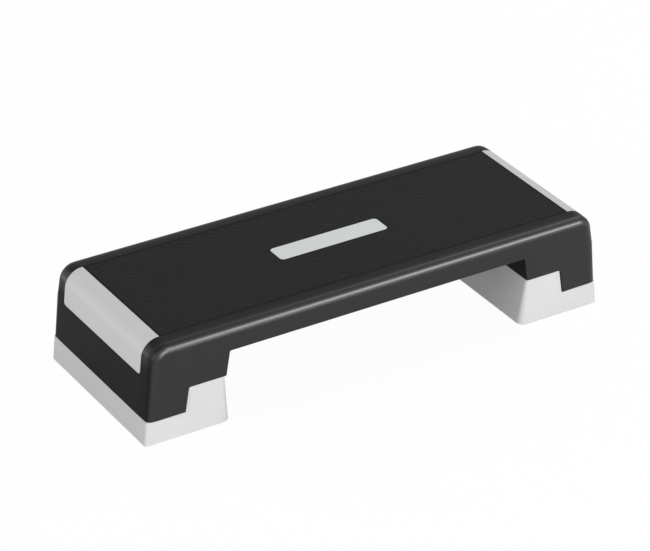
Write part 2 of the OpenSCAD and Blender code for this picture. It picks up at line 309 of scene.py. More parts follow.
def shift_corners(piece, test, move):
    """Move the corners of a piece that pass the test."""
    open_mesh(piece)
    choose("VERT", lambda v: test(v.co))
    bpy.ops.transform.translate(value=move)
    close_mesh()


def slide_row(piece, z, test, move):
    """Slide those corners of a piece along X that lie at height z and whose X passes the test."""
    shift_corners(piece, lambda co: test(co.x) and abs(co.z - z) < HAIR, (move, 0, 0))


def in_triangles(piece):
    """Split the many-sided faces of a piece, which a cut could tear."""
    open_mesh(piece)
    choose("FACE", lambda f: len(f.verts) > 4)
    bpy.ops.mesh.quads_convert_to_tris(quad_method="BEAUTY", ngon_method="CLIP")
    close_mesh()


def combine(piece, other, operation="DIFFERENCE"):
    """Cut one piece from another, or join or intersect them, and drop the second."""
    in_triangles(other)
    in_triangles(piece)
    modifier = piece.modifiers.new("cut", "BOOLEAN")
    modifier.object = other
    modifier.operation = operation
    modifier.solver = "MANIFOLD"
    bpy.ops.object.modifier_apply(modifier=modifier.name)
    bpy.data.objects.remove(other)
    return piece


def shape_loaf(wall_end, wall_side, foot=-OVERSHOOT):
    """The loaf of the deck, drawn in by the thickness of its walls."""
    top = TOP - wall_end
    slope = wall_end / math.cos(END_LEAN)
    side = WIDTH / 2 - wall_side
    block_end = 1
    loaf = new_block((-block_end, -side, foot), (block_end, side, top))
    for s in (-1, 1):
        for z in (foot, top):
            slide_row(loaf, z, lambda x: x * s > 0, s * (end_x(z) - slope - block_end))
    open_mesh(loaf)
    choose("EDGE", lambda e: all(v.co.z > top - HAIR for v in e.verts)
           and abs(e.verts[0].co.x - e.verts[1].co.x) < HAIR)
    round_edges((END_ROLL - wall_end) * math.tan((math.pi / 2 - END_LEAN) / 2), ROLL_STEPS)
    close_mesh()
    marks = loaf.data.attributes.new("bevel_weight_edge", "FLOAT", "EDGE")
    for edge in loaf.data.edges:
        a, b = (loaf.data.vertices[v].co for v in edge.vertices)
        on_chain = abs(abs(a.y) - side) < HAIR and abs(a.y - b.y) < HAIR
        if on_chain and max(a.z, b.z) > foot + HAIR:
            share = min(max(((a.z + b.z) / 2 - (TOP - END_ROLL)) / END_ROLL, 0), 1)
            radius = CORNER_ROLL + (SIDE_ROLL - CORNER_ROLL) * share - wall_side
            marks.data[edge.index].value = radius / CORNER_ROLL
    bevel = loaf.modifiers.new("roll", "BEVEL")
    bevel.limit_method = "WEIGHT"
    bevel.width = CORNER_ROLL
    bevel.segments = CORNER_STEPS
    bevel.use_clamp_overlap = False
    bpy.ops.object.modifier_apply(modifier=bevel.name)
    return loaf


ROLL_CENTRE = Vector((end_x(TOP - END_ROLL) - END_ROLL / math.cos(END_LEAN), 0, TOP - END_ROLL))


def outward(co):
    """Outward direction of the long profile beside a point of the loaf."""
    s = 1 if co.x > 0 else -1
    if abs(co.x) < ROLL_CENTRE.x:
        return Vector((0, 0, 1))
    if co.z < ROLL_CENTRE.z + END_ROLL * math.sin(END_LEAN) / 2:
        return Vector((s * math.cos(END_LEAN), 0, math.sin(END_LEAN)))
    return Vector((co.x - s * ROLL_CENTRE.x, 0, co.z - ROLL_CENTRE.z)).normalized()


def split_at(piece, place, way):
    """Cut new edges where a plane passes through the whole piece."""
    open_mesh(piece)
    bpy.ops.mesh.select_all(action="SELECT")
    bpy.ops.mesh.bisect(plane_co=place, plane_no=way)
    close_mesh()


def smooth_off(piece, name, body, node, finish):
    """Finish a piece: shade it, give it its material, hang it on its body and hide the part of the model
    that it stands for.
    """
    take(piece)
    fix_place()
    piece.name = piece.data.name = name
    bpy.ops.object.shade_smooth_by_angle(angle=SMOOTH_BELOW)
    weights = piece.modifiers.new("even", "WEIGHTED_NORMAL")
    weights.keep_sharp = True
    weights.weight = 80
    bpy.ops.object.modifier_apply(modifier=weights.name)
    piece.data.materials.clear()
    piece.data.materials.append(finish)
    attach(piece, body)
    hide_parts(node)


deck = shape_loaf(0, 0)
for row in BORDER_ROWS:
    for s in (-1, 1):
        split_at(deck, (0, s * (TREAD_SIDE + row), 0), (0, 1, 0))
for vertex in deck.data.vertices:
    beyond_tread = abs(vertex.co.y) - TREAD_SIDE
    if beyond_tread > NEAR:
        vertex.co -= outward(vertex.co) * BORDER_FALL * (beyond_tread / BORDER) ** 2

# The upright corners are fuller than a true arc, and ease into the roll above them.
CORNER_POWER = 3.4
CORNER_EASE = 0.03
EASE_ROW = 0.137
split_at(deck, (0, 0, EASE_ROW), (0, 0, 1))
for vertex in deck.data.vertices:
    s = 1 if vertex.co.x > 0 else -1
    t = 1 if vertex.co.y > 0 else -1
    across = abs(vertex.co.y) - (WIDTH / 2 - CORNER_ROLL)
    along = abs(vertex.co.x) - (end_x(vertex.co.z) - CORNER_ROLL / math.cos(END_LEAN))
    if across > NEAR and along > NEAR and vertex.co.z < TOP - END_ROLL:
        away = math.hypot(across, along)
        fuller = away / (across ** CORNER_POWER + along ** CORNER_POWER) ** (1 / CORNER_POWER)
        share = min((TOP - END_ROLL - vertex.co.z) / CORNER_EASE, 1)
        vertex.co += Vector((s * along, t * across, 0)) * (fuller - 1) * share

# The long faces are sliced before they are cut, so that no face is too thin to be cut cleanly.
SLICE_LENGTH = 0.05
SLICE_HEIGHTS = (0.16, 0.17, 0.178)


def in_slices(piece):
    """Break up the long faces of the deck."""
    for number in range(-9, 10):
        split_at(piece, (number * SLICE_LENGTH, 0, 0), (1, 0, 0))
    for height in SLICE_HEIGHTS:
        split_at(piece, (0, 0, height), (0, 0, 1))


in_slices(deck)

# The legs are stepped: three cuts from below leave a low foot, a high foot and the skirt. A cutter
# starts as a plain block of a half length, and the ends of two of them are then drawn to the legs.
CUTTER_SIDE = 0.25
CUTTER_FOOT = -0.05
for reach, height, half in ((None, LEVEL, 0.6), (step_x, 2 * LEVEL, 0.3), (leg_x, SKIRT, 0.3)):
    cutter = new_block((-half, -CUTTER_SIDE, CUTTER_FOOT), (half, CUTTER_SIDE, height))
    if reach is not None:
        for s in (-1, 1):
            for z in (CUTTER_FOOT, height):
                slide_row(cutter, z, lambda x: x * s > 0, s * (reach(z) - half))
    combine(deck, cutter)

# The faces of the cuts are merged again, and every edge that they leave is rounded.
CUTS_END = SKIRT + 0.0005
FEET_END = 0.42
MOST_OF_WIDTH = 0.3
FOOT_EDGE = 0.0022
RIM_EDGE = 0.0014
open_mesh(deck)
choose("VERT", lambda v: v.co.z < CUTS_END)
bpy.ops.mesh.remove_doubles(threshold=HAIR)
choose("FACE", lambda f: all(v.co.z < SLICE_HEIGHTS[0] + HAIR for v in f.verts))
bpy.ops.mesh.dissolve_limited(angle_limit=math.radians(0.02))


def is_corner_of_foot(edge):
    """Whether an edge runs across the deck at the foot of a leg's face or of the skirt."""
    a, b = (v.co for v in edge.verts)
    across = abs(a.x - b.x) < NEAR and abs(a.z - b.z) < NEAR and abs(a.y - b.y) > MOST_OF_WIDTH
    at_foot = any(abs(a.z - height) < 10 * NEAR for height in (LEVEL, 2 * LEVEL, SKIRT))
    return across and at_foot and abs(a.x) < FEET_END


def is_in_cuts(face):
    """Whether a face belongs to the cuts from below."""
    centre = face.calc_center_median()
    down = face.normal.z < -0.1
    inward = abs(face.normal.y) < 0.1 and face.normal.x * centre.x < 0
    return (down or inward) and centre.z < CUTS_END


choose("EDGE", is_corner_of_foot)
round_edges(FOOT_EDGE, 3)
choose("FACE", is_in_cuts)
bpy.ops.mesh.region_to_loop()
round_edges(RIM_EDGE, 3)
close_mesh()
for vertex in deck.data.vertices:
    vertex.co.y = max(-WIDTH / 2, min(WIDTH / 2, vertex.co.y))
in_slices(deck)

# Recesses for the tread and for the end inserts.
TRIM = 0.0025
TRIM_GAP = 0.0003
INSERT_FOOT = 0.132
INSERT_HEAD = 0.44663
INSERT_CORNER = 0.007
BEYOND_END = 0.53
SIDE_SLACK = 0.0005
HEAD_OVERLAP = 0.001


def prism_at_end(s, margin, head):
    """A block with rounded lower corners, which marks out an end insert."""
    low = min(s * head, s * BEYOND_END)
    block = new_block((low, -TREAD_SIDE + margin, INSERT_FOOT + margin),
                      (low + BEYOND_END - head, TREAD_SIDE - margin, TOP + OVERSHOOT))
    open_mesh(block)
    choose("EDGE", lambda e: all(v.co.z < INSERT_FOOT + margin + HAIR for v in e.verts)
           and abs(e.verts[0].co.y - e.verts[1].co.y) < HAIR)
    round_edges(INSERT_CORNER, 6)
    close_mesh()
    return block


for s in (-1, 1):
    recess = prism_at_end(s, 0, INSERT_HEAD - TRIM_GAP)
    combine(recess, shape_loaf(TRIM, SIDE_SLACK))
    combine(deck, recess)
combine(deck, new_block((-INSERT_HEAD - HEAD_OVERLAP, -TREAD_SIDE, TOP - TRIM),
                        (INSERT_HEAD + HEAD_OVERLAP, TREAD_SIDE, TOP + OVERSHOOT)))

# The hollow of the deck. Its ribs, inner leg walls and pad posts are trimmed to the hollow and
# reach into its walls.
RIB = 0.0026
RIB_REACH = 0.0015
RIB_ROWS = (-0.09, -0.03, 0.03, 0.09)
RIB_SIDE = 0.2
CROSS_RIB_PITCH = 0.08
SKIRT_RIBS = 0.158
LEG_RIBS = 0.128
LEG_RIBS_START = 0.318
LEG_CROSS_RIBS = (0.380, 0.430)
LEG_WALL_HEAD = 0.22
OVERHEAD = 0.25
PAD_FROM_END = 0.023
PAD_FROM_SIDE = 0.017
PAD_X = end_x(LEVEL) - PAD_FROM_END
PAD_Y = WIDTH / 2 - PAD_FROM_SIDE
PAD_PROUD = 0.001
PAD_DISC = 0.002
POST_RADIUS = 0.014
BORE_RADIUS = 0.010
DECK_BORE_TOP = 0.14
HOLLOW_FOOT = -0.03
combine(deck, shape_loaf(END_WALL, SIDE_WALL, HOLLOW_FOOT))


def new_bar(x, y, low, high, radius, sides=40, ends="TRIFAN"):
    """An upright round bar."""
    bare()
    bpy.ops.mesh.primitive_cylinder_add(vertices=sides, radius=radius, depth=high - low,
                                        end_fill_type=ends, location=(x, y, (low + high) / 2))
    bar = take(bpy.context.object)
    fix_place()
    return bar


def new_post(x, y, low, high, bore_top):
    """An upright round post with a bore from below."""
    return combine(new_bar(x, y, low, high, POST_RADIUS),
                   new_bar(x, y, low - CUT_PAST, bore_top, BORE_RADIUS))


def rib_along(start, end, y, low, high):
    """A rib along the step, from one place to another in either order."""
    return new_block((min(start, end), y - RIB / 2, low), (max(start, end), y + RIB / 2, high))


def rib_across(x, low, high):
    """A rib across the whole width of the step."""
    return new_block((x - RIB / 2, -RIB_SIDE, low), (x + RIB / 2, RIB_SIDE, high))


def join(pieces):
    """Join pieces that reach into each other into one object."""
    take(pieces[0])
    for piece in pieces:
        piece.select_set(True)
    bpy.ops.object.join()
    return bpy.context.object


stiffening = []
for y in RIB_ROWS:
    stiffening.append(rib_along(-leg_x(TOP) - RIB_REACH, leg_x(TOP) + RIB_REACH, y, SKIRT_RIBS, OVERHEAD))
    for s in (-1, 1):
        stiffening.append(rib_along(s * LEG_RIBS_START, s * LENGTH / 2, y, LEG_RIBS, OVERHEAD))
for number in range(-3, 4):
    stiffening.append(rib_across(number * CROSS_RIB_PITCH, SKIRT_RIBS, OVERHEAD))
for s in (-1, 1):
    for x in LEG_CROSS_RIBS:
        stiffening.append(rib_across(s * x, LEG_RIBS, OVERHEAD))
    wall = new_block((-SIDE_WALL / 2, -RIB_SIDE, 2 * LEVEL), (SIDE_WALL / 2, RIB_SIDE, LEG_WALL_HEAD))
    for z in (2 * LEVEL, LEG_WALL_HEAD):
        slide_row(wall, z, lambda x: True, s * (leg_x(z) + SIDE_WALL / 2))
    stiffening.append(wall)
    for y in (-PAD_Y, PAD_Y):
        stiffening.append(new_post(s * PAD_X, y, LEVEL - PAD_PROUD + PAD_DISC, OVERHEAD, DECK_BORE_TOP))
for piece in stiffening:
    combine(piece, shape_loaf(END_WALL - RIB_REACH, SIDE_WALL - RIB_REACH), "INTERSECT")
ribs = join(stiffening)


def grey(level):
    """A colour without a tint."""
    return level, level, level


def start_finish(name):
    """A new material, its node tree, and the Object coordinates that its patterns follow."""
    material = bpy.data.materials.new(name)
    finish = Finish(material)
    return material, finish, finish.add("TexCoord", output="Object")


def end_finish(finish, sockets):
    """Close the node tree of a material with its shader."""
    finish.add("OutputMaterial", None, {"Surface": finish.add("BsdfPrincipled", None, sockets)})


def sheen_painted_by_facing(finish, place):
    """Painted sheen: the weight of a clear coat, set by which way the skin faces, so that the flanks, the
    crest of the long edges and the rolled ends show painted sheen bands and highlights. It is full on the
    flanks and less on the crest of the long edges and on the rolled ends. The top itself stays dull."""
    facing = finish.add("SeparateXYZ", None, {"Vector": finish.add("NewGeometry", output="Normal")})
    sideways, endways, upward = (abs(Wire(facing.socket.node.outputs[way])) for way in "YXZ")
    height = Wire(finish.add("SeparateXYZ", None, {"Vector": place}).socket.node.outputs["Z"])
    rolled_end = ((endways - 0.5) * 2).least(1).most(0) * ((height - SKIRT) * 60).least(1).most(0)
    crest = finish.add("ValToRGB", {"stops": ((0.02, grey(0)), (0.19, grey(0.5)), (0.4, grey(0.2)))},
                       {"Fac": sideways})
    flank = finish.add("ValToRGB", {"stops": ((0.35, grey(0)), (0.6, grey(0.32)), (0.85, grey(1)),
                                              (1, grey(0.69)))}, {"Fac": sideways})
    return flank.most(crest * upward).most(rolled_end * 0.35)


def moulded_plastic(name, dark, light, roughness, specular, grain=0.25, painted_sheen_on_sides=False):
    """Plastic from a grained mould: its tone and gloss drift slowly, and its skin has fine grain, a faint
    waviness and a few long light scuffs. With a painted sheen on its sides, a coat weighted by which way the
    skin faces paints highlights on its flanks and rolled edges."""
    material, finish, place = start_finish(name)
    drift = finish.add("TexNoise", None, {"Vector": place, "Scale": 7, "Detail": 3, "Roughness": 0.55})
    fine = finish.add("TexNoise", None, {"Vector": place, "Scale": 1900, "Detail": 2, "Roughness": 0.6})
    waves = finish.add("TexNoise", None, {"Vector": place, "Scale": 70, "Detail": 1})
    stretched = finish.add("Mapping", None, {"Vector": place, "Rotation": (0.2, 0.1, 0.5),
                                             "Scale": (14, 420, 300)})
    scuffs = finish.add("TexNoise", None, {"Vector": stretched, "Scale": 1, "Detail": 2, "Roughness": 0.5})
    scuffed = finish.add("ValToRGB", {"stops": ((0.66, grey(0)), (0.78, grey(1)))}, {"Fac": scuffs})
    tone = finish.add("ValToRGB", {"stops": ((0.25, dark), (0.75, light))},
                      {"Fac": drift * 0.7 + fine * 0.3 + scuffed * 0.12})
    skin = finish.add("Bump", None, {"Strength": grain, "Distance": 0.00008, "Height": fine})
    skin = finish.add("Bump", None, {"Strength": 0.3, "Distance": 0.00012, "Height": waves, "Normal": skin})
    dullness = (drift - 0.5) * 0.12 + (fine - 0.5) * 0.14 + scuffed * 0.08 + roughness
    sockets = {"Base Color": tone, "Roughness": dullness, "Specular IOR Level": specular, "Normal": skin}
    if painted_sheen_on_sides:
        painted_coat_weight = sheen_painted_by_facing(finish, place)
        # Painted sheen: the coat is laid on by facing to give the highlights of the edges, and scuffs thin
        # it.
        sockets.update({"Coat Weight": painted_coat_weight * (1 - scuffed * 0.3), "Coat Roughness": 0.36})
    end_finish(finish, sockets)
    return material


# The black deck takes a painted sheen on its flanks and rolled edges.
deck_black = moulded_plastic("deck_black", grey(0.005), (0.009, 0.009, 0.0088), 0.45, 0.075,
                             painted_sheen_on_sides=True)
smooth_off(deck, "deck_moulding", "deck", "deck_shell", deck_black)
smooth_off(ribs, "deck_ribs", "deck", "deck_shell", deck_black)


# Tread: a mat of black rubber, bonded into the recess of the deck round the centre plate. It is
# pressed with rows of small overlapping scales for grip, and has a plain narrow rim.
PLATE_HALF = (0.118, 0.0235)
PLATE_CORNER = 0.008
MAT_GAP = 0.0004
MAT_EDGE = 0.0006
MAT_RIM = 0.0045
PLATE_RIM = 0.003
SCALE_ROW = 0.016
SCALE_PITCH = 0.024
SCALE_STRAY = (0.026, 0.02)
SHARP = math.radians(35)


def rounded_block(half_x, half_y, corner, low, high, segments=8):
    """A flat block with rounded upright corners."""
    block = new_block((-half_x, -half_y, low), (half_x, half_y, high))
    open_mesh(block)
    choose("EDGE", lambda e: abs(e.verts[0].co.z - e.verts[1].co.z) > HAIR)
    round_edges(corner, segments)
    close_mesh()
    return block


def soften(piece, radius, segments=2, height=-1):
    """Round off the sharp edges of a piece, or only those that lie up at a height."""
    open_mesh(piece)
    choose("EDGE", lambda e: len(e.link_faces) == 2 and e.calc_face_angle(0) > SHARP
           and min(v.co.z for v in e.verts) > height - NEAR)
    round_edges(radius, segments)
    close_mesh()


mat = new_block((-INSERT_HEAD + TRIM_GAP, -TREAD_SIDE + MAT_GAP, TOP - TRIM),
                (INSERT_HEAD - TRIM_GAP, TREAD_SIDE - MAT_GAP, TOP))
combine(mat, rounded_block(PLATE_HALF[0] + TRIM_GAP, PLATE_HALF[1] + TRIM_GAP, PLATE_CORNER + TRIM_GAP,
                           TOP - CUT_PAST, TOP + CUT_PAST))
soften(mat, MAT_EDGE, height=TOP)


def scale_rows(x, y):
    """The height of one set of rows of rounded scales, each rising to a curved lip at its front."""
    u = ((x / SCALE_PITCH) % 1 - 0.5) * 2
    v = ((y / SCALE_ROW) % 1 - 0.5) * 2
    lip = (1 - u * u * 0.8 - v * v).most(0)
    return lip ** 0.5 * (1 - v * 0.55)


def pressed_rubber(name):
    """Black rubber pressed with staggered rows of scales, which stop short of a plain rim. The tops of the
    scales are a little paler."""
    material, finish, place = start_finish(name)
    parts = finish.add("SeparateXYZ", None, {"Vector": place}).socket.node.outputs
    x, y = Wire(parts["X"]), Wire(parts["Y"])
    stray = finish.add("TexNoise", None, {"Vector": place, "Scale": 50, "Detail": 2}, "Color")
    strays = finish.add("SeparateXYZ", None, {"Vector": stray}).socket.node.outputs
    u = x + (Wire(strays["X"]) - 0.5) * SCALE_STRAY[0]
    v = y + (Wire(strays["Y"]) - 0.5) * SCALE_STRAY[1]
    scales = scale_rows(u, v).most(scale_rows(u + SCALE_PITCH / 2, v + SCALE_ROW / 2))
    field = (TREAD_SIDE - MAT_RIM - abs(y)).above(0) * (INSERT_HEAD - MAT_RIM - abs(x)).above(0)
    beyond_plate = abs(x).above(PLATE_HALF[0] + PLATE_RIM).most(abs(y).above(PLATE_HALF[1] + PLATE_RIM))
    scales = scales * field * beyond_plate
    drift = finish.add("TexNoise", None, {"Vector": place, "Scale": 5, "Detail": 3, "Roughness": 0.5})
    crumb = finish.add("TexNoise", None, {"Vector": place, "Scale": 900, "Detail": 2, "Roughness": 0.7})
    tone = finish.add("ValToRGB", {"stops": ((0.2, grey(0.0055)), (0.9, grey(0.0165)))},
                      {"Fac": scales * 0.35 + drift * 0.4 + crumb * 0.2})
    skin = finish.add("Bump", None, {"Strength": 0.9, "Distance": 0.0009, "Height": scales})
    skin = finish.add("Bump", None, {"Strength": 0.3, "Distance": 0.0001, "Height": crumb, "Normal": skin})
    dullness = (drift - 0.5) * 0.1 + (crumb - 0.5) * 0.16 - scales * 0.06 + 0.66
    end_finish(finish, {"Base Color": tone, "Roughness": dullness, "Specular IOR Level": 0.06,
                        "Normal": skin})
    return material


smooth_off(mat, "tread", "deck", "tread_mat", pressed_rubber("tread_black"))


# Centre plate: a bare plate of silver grey plastic with a satin skin. It lies flush in the opening
# of the mat, and two pegs below it are pressed into holes of the deck.
PLATE_EDGE = 0.0005
PEG_X = 0.1
PEG_RADIUS = 0.0025
PEG_LENGTH = 0.0075
PEG_ROOT = 0.0005
plate = rounded_block(*PLATE_HALF, PLATE_CORNER, TOP - TRIM, TOP)
soften(plate, PLATE_EDGE, height=TOP)
for s in (-1, 1):
    peg = new_bar(s * PEG_X, 0, TOP - TRIM - PEG_LENGTH, TOP - TRIM + PEG_ROOT, PEG_RADIUS, 24, "NGON")
    combine(plate, peg, "UNION")


def satin_plastic(name):
    """Silver grey plastic with a fine pearly fleck and a satin skin, slightly duller in patches."""
    material, finish, place = start_finish(name)
    drift = finish.add("TexNoise", None, {"Vector": place, "Scale": 14, "Detail": 2})
    fleck = finish.add("TexVoronoi", None, {"Vector": place, "Scale": 1600}, "Distance")
    stretched = finish.add("Mapping", None, {"Vector": place, "Scale": (30, 1500, 900)})
    brushed = finish.add("TexNoise", None, {"Vector": stretched, "Scale": 1, "Detail": 2})
    tone = finish.add("ValToRGB", {"stops": ((0.2, (0.608, 0.636, 0.631)), (0.8, (0.682, 0.713, 0.707)))},
                      {"Fac": drift * 0.5 + fleck * 0.3 + brushed * 0.25})
    skin = finish.add("Bump", None, {"Strength": 0.15, "Distance": 0.00005, "Height": brushed})
    dullness = (drift - 0.5) * 0.12 + (brushed - 0.5) * 0.14 + 0.4
    end_finish(finish, {"Base Color": tone, "Roughness": dullness, "Specular IOR Level": 0.2,
                        "Normal": skin})
    return material


smooth_off(plate, "centre_badge_plate", "deck", "centre_plate", satin_plastic("plate_grey"))


# End inserts: two shells of light grey plastic that lie flush over the rolled ends of the deck,
# each held from inside by four screws in bosses.
INSERT_BACK_GAP = 0.0001
INSERT_EDGE = 0.0005
SCREW_PITCH = 0.06
SCREWS = tuple(number * SCREW_PITCH for number in (-2, -1, 1, 2))
SCREW_RISE = 0.015
SCREW_Z = INSERT_FOOT + SCREW_RISE
BOSS_RADIUS = 0.004
BOSS_DEPTHS = (0.0057, 0.0012)
PILOT_RADIUS = 0.0018
PILOT_DEPTHS = (0.0065, 0.0015)
ENDS = ((-1, "left"), (1, "right"))
insert_grey = moulded_plastic("insert_grey", grey(0.55), grey(0.59), 0.5, 0.25, 0.18)


def set_on_end(piece, s, y, depth):
    """Turn a piece square to the end wall, and set its middle at a depth below the outer face."""
    out = Vector((s * math.cos(END_LEAN), 0, math.sin(END_LEAN)))
    piece.matrix_world = (Matrix.Translation(Vector((s * end_x(SCREW_Z), y, SCREW_Z)) - out * depth)
                          @ out.to_track_quat("Z", "Y").to_matrix().to_4x4())
    take(piece)
    fix_place()
    return piece


def peg_on_end(s, y, radius, depths, sides=24):
    """A round bar square to the end wall, from one depth below its face to another."""
    inner, outer = depths
    bare()
    bpy.ops.mesh.primitive_cylinder_add(vertices=sides, radius=radius, depth=inner - outer)
    return set_on_end(bpy.context.object, s, y, (inner + outer) / 2)


for s, side in ENDS:
    insert = prism_at_end(s, TRIM_GAP, INSERT_HEAD)
    combine(insert, shape_loaf(0, 0), "INTERSECT")
    combine(insert, shape_loaf(TRIM - INSERT_BACK_GAP, INSERT_BACK_GAP))
    soften(insert, INSERT_EDGE)
    for y in SCREWS:
        combine(insert, peg_on_end(s, y, BOSS_RADIUS, BOSS_DEPTHS), "UNION")
    for y in SCREWS:
        combine(insert, peg_on_end(s, y, PILOT_RADIUS, PILOT_DEPTHS))
    smooth_off(insert, side + "_end_cover", "deck", side + "_end_insert", insert_grey)


# Screws: zinc plated steel with a rounded head and a cross recess, driven from inside the deck.
# Their heads were turned, which left fine rings.
HEAD_RADIUS = 0.0055
HEAD_DEPTHS = (0.009, 0.006)
HEAD_EDGE = 0.0009
SHANK_RADIUS = 0.0017
SHANK_DEPTHS = (0.0065, 0.0013)
RECESS_LONG = 0.0028
RECESS_NARROW = 0.0005
RECESS_DEEP = 0.001
RING_PITCH = 0.0003


def turned_zinc(name):
    """Bright zinc plate over turned steel: fine rings round each screw, and a slightly blotched tone."""
    material, finish, place = start_finish(name)
    parts = finish.add("SeparateXYZ", None, {"Vector": place}).socket.node.outputs
    across = (Wire(parts["Y"]) + SCREW_PITCH / 2) % SCREW_PITCH - SCREW_PITCH / 2
    up = Wire(parts["Z"]) - SCREW_Z
    rings = ((across * across + up * up) ** 0.5 / RING_PITCH) % 1
    blotch = finish.add("TexNoise", None, {"Vector": place, "Scale": 600, "Detail": 3, "Roughness": 0.6})
    tone = finish.add("ValToRGB", {"stops": ((0.2, (0.45, 0.46, 0.49)), (0.8, (0.66, 0.67, 0.69)))},
                      {"Fac": blotch * 0.8 + rings * 0.2})
    skin = finish.add("Bump", None, {"Strength": 0.3, "Distance": 0.00004,
                                     "Height": rings * 0.6 + blotch * 0.4})
    dullness = (blotch - 0.5) * 0.25 + rings * 0.06 + 0.3
    end_finish(finish, {"Base Color": tone, "Metallic": 1, "Roughness": dullness, "Normal": skin})
    return material


def copy_for_end(piece, s, move=(0, 0, 0)):
    """Copy a piece of the right end with a mesh of its own, moved, and mirrored for the left end."""
    twin = piece.copy()
    twin.data = piece.data.copy()
    bpy.context.collection.objects.link(twin)
    open_mesh(twin)
    bpy.ops.mesh.select_all(action="SELECT")
    bpy.ops.transform.translate(value=move)
    if s < 0:
        bpy.ops.transform.mirror(constraint_axis=(True, False, False), center_override=(0, 0, 0))
        bpy.ops.mesh.flip_normals()
    close_mesh()
    return twin


screw_zinc = turned_zinc("screw_zinc")
screw = peg_on_end(1, 0, HEAD_RADIUS, HEAD_DEPTHS, 32)
soften(screw, HEAD_EDGE, 4)
combine(screw, peg_on_end(1, 0, SHANK_RADIUS, SHANK_DEPTHS), "UNION")
for a, b in ((RECESS_LONG, RECESS_NARROW), (RECESS_NARROW, RECESS_LONG)):
    bar = new_block((-a, -b, -RECESS_DEEP), (a, b, RECESS_DEEP))
    combine(screw, set_on_end(bar, 1, 0, HEAD_DEPTHS[0]))
for s, side in ENDS:
    for number, y in enumerate(SCREWS):
        smooth_off(copy_for_end(screw, s, (0, y, 0)), side + "_screw_" + str(number + 1), "deck",
                   side + "_insert_screws", screw_zinc)
bpy.data.objects.remove(screw)


# Risers: hollow steps of white polypropylene under each leg, ribbed below, with a low and a high
# collar that reach up into the leg and lock it in place.
RISER_INSET = 0.0025
RISER_SIDE = WIDTH / 2 - RISER_INSET
RISER_LENGTH = 0.179
RISER_LEAN = math.radians(6.3)
RISER_WALL = 0.0035
RISER_CORNER = 0.007
FOOT_CORNER_MORE = 0.009
RISER_EDGE = 0.0013
RISER_BLOCK = (0.3, 0.6)
RISER_MIDDLE = 0.45
STEP_BLOCK = (0.45, 0.7)
STEP_MIDDLE = 0.5
STEP_TOP = 0.15
STEP_GAP = 0.0005
COLLAR_HEIGHT = 0.02
COLLAR_WALL = 0.003
COLLAR_CORNER = 0.006
COLLAR_EDGE = 0.0012
COLLAR_GAP = 0.0008
LOW_COLLAR_IN = 0.005
HIGH_COLLAR_IN = 0.006
POCKET_RADIUS = 0.0135
POCKET_DEPTH = 0.0013
POCKET_HEIGHT = 0.06
RISER_RIBS = 0.014
RISER_RIB_ENDS = (0.3, 0.52)
RISER_CROSS_RIBS = (0.3747, 0.426)
RISER_OVERHEAD = 0.12
RISER_BORE_TOP = 0.013
riser_white = moulded_plastic("riser_white", (0.52, 0.523, 0.524), (0.56, 0.563, 0.564), 0.5, 0.25, 0.2)


def inner_x(z):
    """Inner wall of a riser at height z."""
    return LENGTH / 2 - RISER_LENGTH + z * math.tan(RISER_LEAN)


RISER_PADS = {"inner": inner_x(0) + PAD_FROM_END, "outer": end_x(0) - PAD_FROM_END}
RISER_PAD_Y = RISER_SIDE - PAD_FROM_SIDE


def shape_riser(wall, foot):
    """The right riser as a block, drawn in by the thickness of its wall."""
    roof, ledge = 2 * LEVEL - wall, LEVEL - wall
    out_slope, in_slope = wall / math.cos(END_LEAN), wall / math.cos(RISER_LEAN)
    side = RISER_SIDE - wall
    start, end = RISER_BLOCK
    form = new_block((start, -side, foot), (end, side, roof))
    for z in (foot, roof):
        slide_row(form, z, lambda x: x > RISER_MIDDLE, end_x(z) - out_slope - end)
        slide_row(form, z, lambda x: x < RISER_MIDDLE, inner_x(z) + in_slope - start)
    open_mesh(form)
    choose("EDGE", lambda e: abs(e.verts[0].co.z - e.verts[1].co.z) > 100 * NEAR)
    round_edges(RISER_CORNER - wall, 6)
    close_mesh()
    for vertex in form.data.vertices:
        if vertex.co.x < RISER_MIDDLE:
            corner = Vector((inner_x(vertex.co.z) + in_slope, math.copysign(side, vertex.co.y), vertex.co.z))
            wider = RISER_CORNER + FOOT_CORNER_MORE * (1 - vertex.co.z / (2 * LEVEL)) - wall
            vertex.co = corner + (vertex.co - corner) * wider / (RISER_CORNER - wall)
    start, end = STEP_BLOCK
    step = new_block((start, -CUTTER_SIDE, ledge), (end, CUTTER_SIDE, STEP_TOP))
    step_slope = wall / math.cos(STEP_LEAN)
    for z in (ledge, STEP_TOP):
        slide_row(step, z, lambda x: x < STEP_MIDDLE, step_x(z) - STEP_GAP - step_slope - start)
    return combine(form, step)


def collar(start, end, side, ledge):
    """An upright wall round a rounded oblong, which stands on a ledge of the riser."""
    half = (end - start) / 2
    low, high = ledge - RIB_REACH, ledge + COLLAR_HEIGHT
    outer = rounded_block(half, side, COLLAR_CORNER, low, high, 6)
    soften(outer, COLLAR_EDGE, height=high)
    combine(outer, rounded_block(half - COLLAR_WALL, side - COLLAR_WALL, COLLAR_CORNER - COLLAR_WALL,
                                 low - CUT_PAST, high + CUT_PAST, 6))
    shift_corners(outer, lambda co: True, ((start + end) / 2, 0, 0))
    return outer


